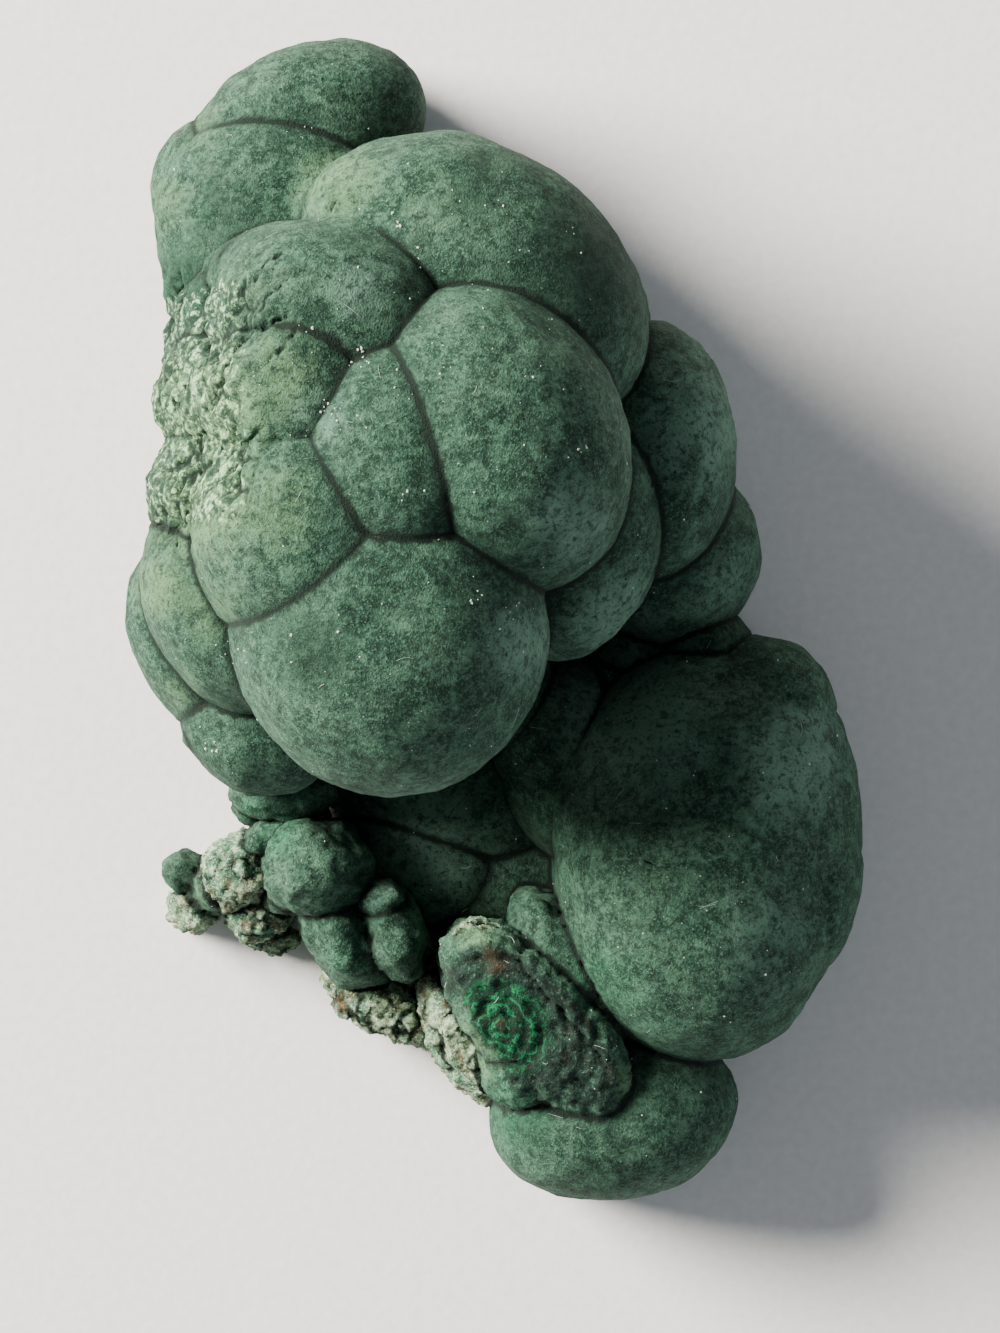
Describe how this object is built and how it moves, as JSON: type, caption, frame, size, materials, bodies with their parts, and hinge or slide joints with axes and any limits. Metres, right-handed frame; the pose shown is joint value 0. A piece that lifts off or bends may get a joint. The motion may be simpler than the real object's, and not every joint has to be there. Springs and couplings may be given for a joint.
{
  "type": "malachite mineral specimen",
  "caption": "Velvety green botryoidal malachite specimen, a grape-like cluster of round lobes on a flat sawn back.",
  "frame": {"origin": "on the flat sawn back, under the middle of the bounding box", "axes": "+Z away from the sawn back through the tallest lobes, +Y along the longest side towards the crown lobes, +X towards the big lower lobes"},
  "size_m": [0.0468, 0.0742, 0.0356],
  "materials": {
    "malachite_skin": "velvety matte green crystal skin with dark creases and a pale dusty bloom"
  },
  "bodies": {
    "root": {"malachite": "malachite_skin"}
  },
  "joints": []
}
